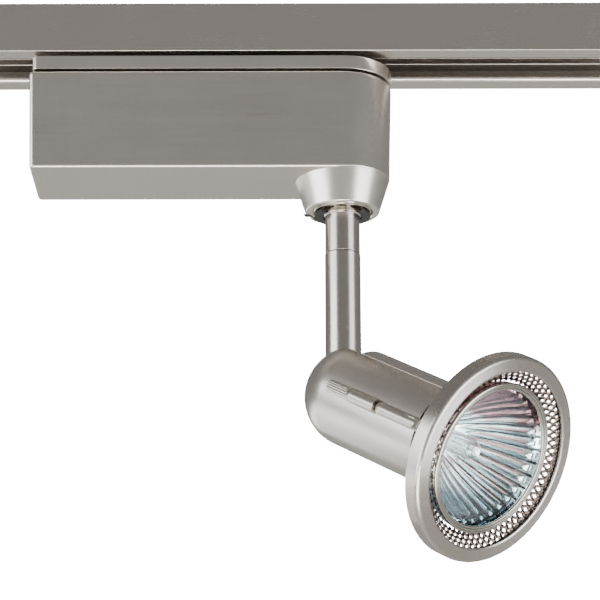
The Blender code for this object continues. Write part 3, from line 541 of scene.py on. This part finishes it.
def make_stem():
    seam = -87.6
    stub = [(3.0, -51.0), (3.0, seam - 8.5), (4.3, seam - 8.5), (4.3, seam + 0.12), (6.05, seam + 0.12)]
    stub += [(6.05, -73.8), (6.6, -73.4), (6.6, -72.3), (4.9, -72.3), (4.9, -51.0)]
    piece("stem_upper", lathe(soften(stub, 0.18), 96), "nickel_turned", "stem", ["stem_stub"])
    low = PIVOT_Z + 7.9
    lower = [(4.6, low), (6.2, low), (6.2, seam - 0.12), (4.6, seam - 0.12)]
    piece("stem_lower", lathe(soften(lower, 0.22), 96), "nickel_turned", "stem", ["stem_tube"])


# ---------------------------------------------------------------- head

def to_side(bm):
    """Turn a mesh about the barrel to where the thumbscrew and the rail are."""
    bmesh.ops.transform(bm, matrix=Matrix.Rotation(math.radians(-5.2), 4, "X"), verts=bm.verts)
    return bm


def make_head_shell():
    """Domed barrel with the stem's slot, the thumbscrew's pocket, sleeve and the foot beside its end."""
    inner = DOME_RADIUS - HEAD_WALL
    outside = [(r, x) for x, r in arc(DOME_RADIUS, 180, 90, 36)]
    outside += [(DOME_RADIUS, HEAD_FRONT - 0.4), (DOME_RADIUS - 0.12, HEAD_FRONT - 0.1)]
    outside += [(DOME_RADIUS - 0.4, HEAD_FRONT)]
    inside = [(inner, HEAD_FRONT)] + [(r, x) for x, r in arc(inner, 90, 180, 24)]
    shell = lathe(outside + inside, 144, "X")
    slot = [(-20, -8), (-10, -8), (-10, 4), (SLOT_FRONT, 4), (SLOT_FRONT, 20), (-20, 20)]
    shell = boolean(shell, prism(slot, -SLOT_HALF, SLOT_HALF, "Y"))
    sleeve = shifted(rod(2.5, 16.2, 28.3, 48, "X", 0.3), (0, -SCREW_OFFSET, 0))
    shell = boolean(shell, to_side(sleeve), "UNION")
    pocket = shifted(rod(2.6, 4.5, 16.4, 48, "X", 0.5), (0, -SCREW_OFFSET, 0))
    shell = boolean(shell, to_side(pocket))
    shell = boolean(shell, to_side(shifted(rod(1.2, 15.2, 29.3, 32, "X"), (0, -SCREW_OFFSET, 0))))
    shell = boolean(shell, to_side(block((28.2, -22, -1.9), (HEAD_FRONT + 1, -16.85, 1.9))))
    notch = block((NOTCH_BACK, -22, -NOTCH_HALF_WIDTH), (HEAD_FRONT + 1, -13, NOTCH_HALF_WIDTH))
    shell = boolean(shell, to_side(notch))
    sink = [(0, -12), (1.8, -12), (1.8, -15.9), (3.1, -17.2), (3.1, -20), (0, -20)]
    shell = boolean(shell, shifted(lathe(sink, 48), (19.5, 0, 0)))
    shell = rounded(shell, 0.14, 40, 3)
    # Painted shade: faces on the inside of the barrel's wall get the near-black nickel copy.
    for face in shell.faces:
        spot = face.calc_center_median()
        away = math.hypot(spot.y, spot.z) if spot.x > 0 else spot.length
        face.material_index = int(away < inner + 0.05)
    item = piece("head_shell", shell, "nickel_head", "head", ["head_housing"], HEAD)
    item.data.materials.append(MATERIALS["painted_shade_inside"])


def make_slot_cover():
    side = SLOT_HALF - 0.14
    edge = math.degrees(math.asin(side / DOME_RADIUS))
    flange = DOME_RADIUS - HEAD_WALL - 0.3
    low = math.sqrt(flange ** 2 - side ** 2)
    section = arc(DOME_RADIUS, 90 - edge, 90 + edge, 40)
    section += [(-side, low)] + arc(flange, 122, 128, 2) + arc(flange - 1.2, 128, 52, 24)
    section += arc(flange, 52, 58, 2) + [(side, low)]
    strip = rounded(prism(section, 3.5, SLOT_FRONT - 0.14, "X"), 0.1, 40, 2)
    piece("slot_strip", strip, "nickel_head", "head", ["slot_cover"], HEAD)


def make_thumbscrew():
    """Straight-knurled knob on its rod."""
    def knurl(radius, height, angle):
        if radius < 2.0 or not 5.6 < height < 15.4:
            return radius
        return radius - 0.3 + 0.3 * abs(math.cos(angle * 8)) ** 0.7

    profile = soften([(0, 5.0), (1.95, 5.0), (2.3, 5.4)], 0.2, False)
    profile += [(2.3, 5.7)] + [(2.3, 5.9 + 0.6 * step) for step in range(16)]
    profile += soften([(2.3, 15.5), (1.95, 16.0), (0.9, 16.0)], 0.15, False)
    profile += [(0.9, 34.0), (0, 34.0)]
    bm = lathe(profile, 192, "X", knurl)
    place = SIDE @ Matrix.Translation((0, -SCREW_OFFSET * MM, 0))
    piece("knurled_screw", bm, "nickel_turned", "thumbscrew", ["thumbscrew"], place)


def make_leg():
    """Round-backed rail with a rounded start, bent out to the ring."""
    corner = math.degrees(math.asin(LEG_FOOT / LEG_RADIUS))
    sections = []
    ends = ((28.9, 0.55, 0), (29.05, 0.75, 0), (29.4, 0.9, 0), (30.0, 0.98, 0), (31.0, 1.0, 0))
    for x, size, out in ends + ((47.6, 1, 0), (48.4, 1, 0.5), (50.0, 1, 1.8), (54, 1, 5.4)):
        ring = [(-LEG_FLOOR, LEG_FOOT * size)]
        ring += arc(LEG_RADIUS * size, corner, 360 - corner, 40, (-SCREW_OFFSET, 0))
        ring += [(-LEG_FLOOR, -LEG_FOOT * size)]
        sections.append([(x, min(y, -LEG_FLOOR) - out, z) for y, z in ring])
    relief = [(45.5, -17), (49.7, -20.7), (57.5, -25.7), (57.5, -12), (45.5, -12)]
    bar = boolean(loft(sections), prism(relief, -5, 5))
    strap = [(43, -17.25), (45.8, -17.25), (49.7, -20.5), (57.5, -25.5), (61.8, -29.0), (64.0, -29.6)]
    strap += [(64.0, -33.1), (61.9, -33.1), (60.2, -30.3), (56.4, -27.3), (49.6, -22.6), (47.4, -20.8)]
    strap += [(43, -20.6)]
    bar = boolean(bar, prism(soften(strap, 0.8), -1.6, 1.6), "UNION")
    piece("ring_rail", bar, "nickel_head", "front_ring", ["ring_leg"], SIDE)


# ---------------------------------------------------------------- front ring and lamp

def make_ring():
    """Rim and face, the face falling slightly outwards."""
    brow = RING_FRONT - 0.3
    edge = arc(1.45, 0, 86, 14, (RING_RADIUS - 1.45, brow - 1.45))
    wall = RING_RADIUS - 1.4
    profile = [(wall, RING_BACK + 0.2), (wall + 0.2, RING_BACK), (RING_RADIUS - 0.3, RING_BACK)]
    profile += [(RING_RADIUS, RING_BACK + 0.3)] + edge
    lip = [(RING_RADIUS - 2.2, brow + 0.06), (RING_INNER + 0.5, RING_FRONT)]
    profile += soften(lip + [(RING_INNER, RING_FRONT - 0.25)], 0.3, False)
    profile += [(RING_INNER, RING_FRONT - 0.9), (RING_INNER + 0.2, RING_FRONT - 1.0)]
    profile += [(wall, RING_FRONT - 1.0)]
    piece("trim_bezel", lathe(profile, 192, "X"), "nickel_ring", "front_ring", ["trim_ring"], HEAD)


def make_grille():
    """Dished sheet with staggered rows of holes, one cell of mesh to each hole."""
    bm = bmesh.new()
    sides = 16
    half_turn = math.pi / HOLES_ROUND
    rows = int((GRILLE_OUTER - GRILLE_INNER) / HOLE_PITCH) + 2

    def put(radius, angle, limit=GRILLE_OUTER):
        radius = min(max(radius, GRILLE_INNER), limit)
        height = CONE_HEIGHT + CONE_SLOPE * (min(radius, GRILLE_BEND) - CONE_RADIUS)
        return bm.verts.new((height, radius * math.cos(angle), radius * math.sin(angle)))

    for row in range(rows):
        middle = GRILLE_INNER + 0.3 + HOLE_PITCH * row
        for index in range(HOLES_ROUND):
            centre = half_turn * (2 * index + row % 2)
            hole, rim = [], []
            for side in range(sides):
                turn = 2 * math.pi * side / sides
                across, along = math.cos(turn), math.sin(turn)
                reach = 0.5 / max(abs(across) * 1.0, abs(across) * 0.5 + abs(along) * 0.75)
                hole.append(put(middle + along * 0.74, centre + across * 0.84 / middle))
                cell = centre + across * reach * 2 * half_turn
                rim.append(put(middle + along * reach * HOLE_PITCH * 2, cell))
            skin(bm, hole, rim)
    circle = [2 * math.pi * step / 264 for step in range(264)]
    skin(bm, [put(GRILLE_OUTER, angle) for angle in circle], [put(33.0, angle, 33.0) for angle in circle])
    bmesh.ops.remove_doubles(bm, verts=bm.verts, dist=0.02)
    bmesh.ops.dissolve_degenerate(bm, edges=bm.edges, dist=0.01)
    nodes = ["perforated_grille"]
    item = piece("grille_mesh", bm, "grille_metal", "front_ring", nodes, HEAD, 60)
    thick = item.modifiers.new("sheet", "SOLIDIFY")
    thick.thickness = 0.3 * MM
    thick.offset = 0


def make_retainer():
    profile = [(22.9, 65.0), (25.0, 65.0), (25.4, 65.2), (25.4, 65.7), (25.1, 66.1), (24.7, 66.2)]
    profile += [(24.55, 65.8), (24.4, 66.05), (23.9, 66.0), (23.75, 65.6), (23.6, 65.85), (23.1, 65.75)]
    bezel = lathe(soften(profile + [(22.9, 65.4)], 0.08), 160, "X")
    nodes = ["lamp_retainer"]
    piece("lamp_bezel", bezel, "retainer_metal", "front_ring", nodes, HEAD, 60)


def lamp_depth(points):
    return [(radius, LAMP_FRONT - depth) for radius, depth in points]


def make_lamp():
    """Fluted reflector, cover glass, capsule and base."""
    def fluted(radius, height, angle):
        depth = LAMP_FRONT - height
        if radius > 22.35 or depth < 2.3 or depth > 24:
            return radius
        fade = min(1.0, (depth - 2.3) / 0.9, (24 - depth) / 6)
        return radius - 0.05 * radius * fade * (1 - abs(math.cos(angle * FLUTES / 2)) ** 0.7)

    outside = [(24.6, 0), (25.0, 0.4), (25.0, 2.4), (24.8, 2.9), (24.2, 4), (22.3, 8), (19.9, 12)]
    outside += [(16.9, 16), (15.8, 17.3), (13.4, 20), (10.4, 24), (8.6, 27)]
    bowl = []
    for step in range(25):
        depth = 2.2 + (25.5 - 2.2) * step / 24
        bowl.append((22.3 * math.sqrt(max(0.0, 1 - (depth - 2.2) / 24.6)), depth))
    inside = [(4.6, 27)] + bowl[::-1] + [(24.0, 2.2), (24.0, 0)]
    bm = lathe(lamp_depth(outside + inside), 272, "X", fluted)
    nodes = ["lamp_reflector"]
    piece("reflector_bowl", bm, "reflector", "head", nodes, HEAD, 50)
    cover = lamp_depth(soften([(0, 0.3), (23.7, 0.3), (23.7, 1.9), (0, 1.9)], 0.4, False))
    cover = lathe(cover, 128, "X")
    piece("front_glass", cover, "cover_glass", "head", ["lamp_cover_glass"], HEAD)
    capsule = [(0, 27), (3.7, 27), (3.7, 10.0), (3.55, 8.9), (3.1, 7.9), (2.4, 7.1), (2.0, 6.7), (1.9, 6.0)]
    bulb = lathe(lamp_depth(soften(capsule + [(1.2, 5.7), (0, 5.6)], 0.3, False)), 64, "X")
    piece("quartz_capsule", bulb, "capsule_glass", "head", ["lamp_capsule"], HEAD)


def reflector_material():
    """Mirror-bright coating whose thickness, and so its cast, changes from the lamp's top to its foot."""
    made = Shader("reflector_coating")
    fine = made.noise((500, 500, 500), 1.0, 3.0)
    broad = made.noise((70, 70, 70), 1.0, 2.0)
    place = made.node("ShaderNodeTexCoord")
    split = made.node("ShaderNodeSeparateXYZ")
    made.link(place.outputs["Object"], split.inputs[0])
    level = made.sum(split.outputs["Z"], made.spread(broad, -0.003, 0.003))
    facing = made.node("ShaderNodeLayerWeight")
    facing.inputs["Blend"].default_value = 0.3
    glance = made.sum(facing.outputs["Facing"], 0.35, "MULTIPLY")
    tone = made.blend(glance, (1, 1, 1, 1), (0.55, 0.70, 0.75, 1))
    tone = made.blend(made.spread(level, 0, 1, 0.008, 0.014), tone, (0.36, 0.18, 0.19, 1))
    tone = made.blend(made.spread(level, 1, 0, -0.016, -0.006), tone, (0.15, 0.22, 0.25, 1))
    angle = made.sum(split.outputs["Z"], split.outputs["Y"], "ARCTAN2")
    # Painted shade: the coating's colour is pulled nearly black in thin lines between the flutes.
    flute_line_shade = made.sum(made.sum(made.sum(angle, FLUTES / 2, "MULTIPLY"), 0.0, "COSINE"), 0.0, "ABSOLUTE")
    tone = made.blend(made.spread(flute_line_shade, 0.95, 0, 0.14, 0.4), tone, (0.03, 0.04, 0.045, 1))
    shader = made.node("ShaderNodeBsdfPrincipled")
    made.value(shader, "Base Color", tone)
    shader.inputs["Metallic"].default_value = 1.0
    made.value(shader, "Roughness", made.spread(fine, 0.04, 0.12))
    made.value(shader, "Normal", made.bump(fine, 0.06, 0.5))
    made.link(shader.outputs[0], made.out.inputs[0])
    return made.material


# ---------------------------------------------------------------- the carried-over CAD nodes

def dress_cad():
    """Give every CAD node that still shows its procedural finish."""
    shown = [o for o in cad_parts.values() if not o.hide_render]
    for item in shown:
        name = "brushed_nickel"
        if item.data.materials:
            name = item.data.materials[0].name.split(".")[0]
        item.data.materials.clear()
        item.data.materials.append(MATERIALS.get(name, MATERIALS["brushed_nickel"]))


# ---------------------------------------------------------------- studio

def area(name, azimuth, elevation, distance, size, power, only=()):
    """A soft box aimed at the stem, azimuth counted from the camera's side to the right."""
    centre = Vector((0, 0, -0.11))
    a, e = math.radians(azimuth), math.radians(elevation)
    way = Vector((math.sin(a) * math.cos(e), -math.cos(a) * math.cos(e), math.sin(e)))
    light = bpy.data.lights.new(name, "AREA")
    light.shape = "RECTANGLE"
    light.size, light.size_y = size
    light.energy = power
    item = bpy.data.objects.new(name, light)
    item.location = centre + way * distance
    item.rotation_mode = "QUATERNION"
    item.rotation_quaternion = way.to_track_quat("Z", "Y")
    item.visible_camera = False
    bpy.context.scene.collection.objects.link(item)
    if only:
        chosen = bpy.data.collections.new(name)
        for lit in only:
            chosen.objects.link(bpy.data.objects[lit])
        item.light_linking.receiver_collection = chosen


def make_world():
    """White to the camera; to everything else a dim room above the horizon and a pale one below."""
    world = bpy.data.worlds.new("studio")
    bpy.context.scene.world = world
    world.use_nodes = True
    tree = world.node_tree
    tree.nodes.clear()
    out = tree.nodes.new("ShaderNodeOutputWorld")
    place = tree.nodes.new("ShaderNodeTexCoord")
    split = tree.nodes.new("ShaderNodeSeparateXYZ")
    tree.links.new(place.outputs["Generated"], split.inputs[0])
    ramp = tree.nodes.new("ShaderNodeMapRange")
    ramp.interpolation_type = "SMOOTHSTEP"
    for key, number in (("From Min", -0.25), ("From Max", 0.12), ("To Min", BELOW), ("To Max", ABOVE)):
        ramp.inputs[key].default_value = number
    tree.links.new(split.outputs["Z"], ramp.inputs["Value"])
    room = tree.nodes.new("ShaderNodeBackground")
    room.inputs["Color"].default_value = (1.0, 0.975, 0.945, 1)
    tree.links.new(ramp.outputs["Result"], room.inputs["Strength"])
    white = tree.nodes.new("ShaderNodeBackground")
    white.inputs["Strength"].default_value = BACKDROP
    ray = tree.nodes.new("ShaderNodeLightPath")
    mix = tree.nodes.new("ShaderNodeMixShader")
    tree.links.new(ray.outputs["Is Camera Ray"], mix.inputs[0])
    tree.links.new(room.outputs[0], mix.inputs[1])
    tree.links.new(white.outputs[0], mix.inputs[2])
    tree.links.new(mix.outputs[0], out.inputs[0])


def make_floor():
    """Pale floor that glows in front of the object, fading outwards."""
    made = Shader("pale_floor")
    mottle = made.noise((1, 1, 1), 3.0, 4.0)
    shader = made.node("ShaderNodeBsdfPrincipled")
    tone = made.blend(made.spread(mottle, 0, 1), (0.86, 0.86, 0.85, 1), (0.9, 0.9, 0.89, 1))
    made.value(shader, "Base Color", tone)
    made.value(shader, "Roughness", made.spread(mottle, 0.6, 0.75))
    made.value(shader, "Emission Color", (1, 0.95, 0.88, 1))
    place = made.node("ShaderNodeTexCoord")
    reach = made.node("ShaderNodeVectorMath", operation="DISTANCE")
    reach.inputs[1].default_value = LIT_CENTRE
    made.link(place.outputs["Object"], reach.inputs[0])
    glow = made.spread(reach.outputs["Value"], LIT_STRENGTH, FLOOR_STRENGTH, LIT_RADIUS, LIT_END)
    made.value(shader, "Emission Strength", glow)
    made.link(shader.outputs[0], made.out.inputs[0])
    bm = bmesh.new()
    bmesh.ops.create_grid(bm, x_segments=8, y_segments=8, size=7.0)
    mesh = bpy.data.meshes.new("floor")
    bm.to_mesh(mesh)
    bm.free()
    mesh.materials.append(made.material)
    item = bpy.data.objects.new("floor", mesh)
    item.location = (0, 0, FLOOR_LEVEL)
    bpy.context.scene.collection.objects.link(item)


def make_camera():
    """The view from below and in front that the object is known from."""
    pitch, roll = 0.3155, 0.0022
    right = Vector((1, 0, 0))
    ahead = Vector((0, math.cos(pitch), math.sin(pitch)))
    down = Vector((0, math.sin(pitch), -math.cos(pitch)))
    across = right * math.cos(roll) + down * math.sin(roll)
    up = right * math.sin(roll) - down * math.cos(roll)
    turn = Matrix((across, up, -ahead)).transposed().to_4x4()
    data = bpy.data.cameras.new("camera")
    data.lens = 147.53
    data.sensor_width = 36.0
    data.clip_start = 0.05
    data.clip_end = 50.0
    camera = bpy.data.objects.new("camera", data)
    camera.matrix_world = Matrix.Translation(Vector((-14.83, -805.89, -367.12)) * MM) @ turn
    bpy.context.scene.collection.objects.link(camera)
    bpy.context.scene.camera = camera


MATERIALS["reflector"] = reflector_material()
MATERIALS["cover_glass"] = thin_glass("cover_glass_clear", (0.93, 0.985, 0.99), 0.03)
MATERIALS["capsule_glass"] = thin_glass("capsule_quartz", (0.88, 0.90, 0.91), 0.12, 0.6, 0.0, 0.3)

make_track()
make_plate()
make_box()
make_swivel()
make_stem()
make_head_shell()
make_slot_cover()
make_thumbscrew()
make_leg()
make_ring()
make_grille()
make_retainer()
make_lamp()
dress_cad()

LAMP = ["reflector_bowl", "quartz_capsule"]
area("softbox_left", -64, -6, 1.2, (0.95, 1.3), 22)
area("softbox_right", 57, -20, 0.5, (0.36, 0.36), 2.7)
area("strip_right", 58, 14, 1.2, (0.64, 0.8), 5.2, ["stem_upper", "stem_lower"])
area("softbox_back", -124, -12, 1.2, (1.1, 0.34), 4.0)
area("lamp_side", 116, -20, 1.2, (0.9, 0.7), 45, LAMP)
area("lamp_fill", 47.6, -28.6, 0.6, (1.1, 1.1), 17, LAMP)
make_world()
make_floor()
make_camera()
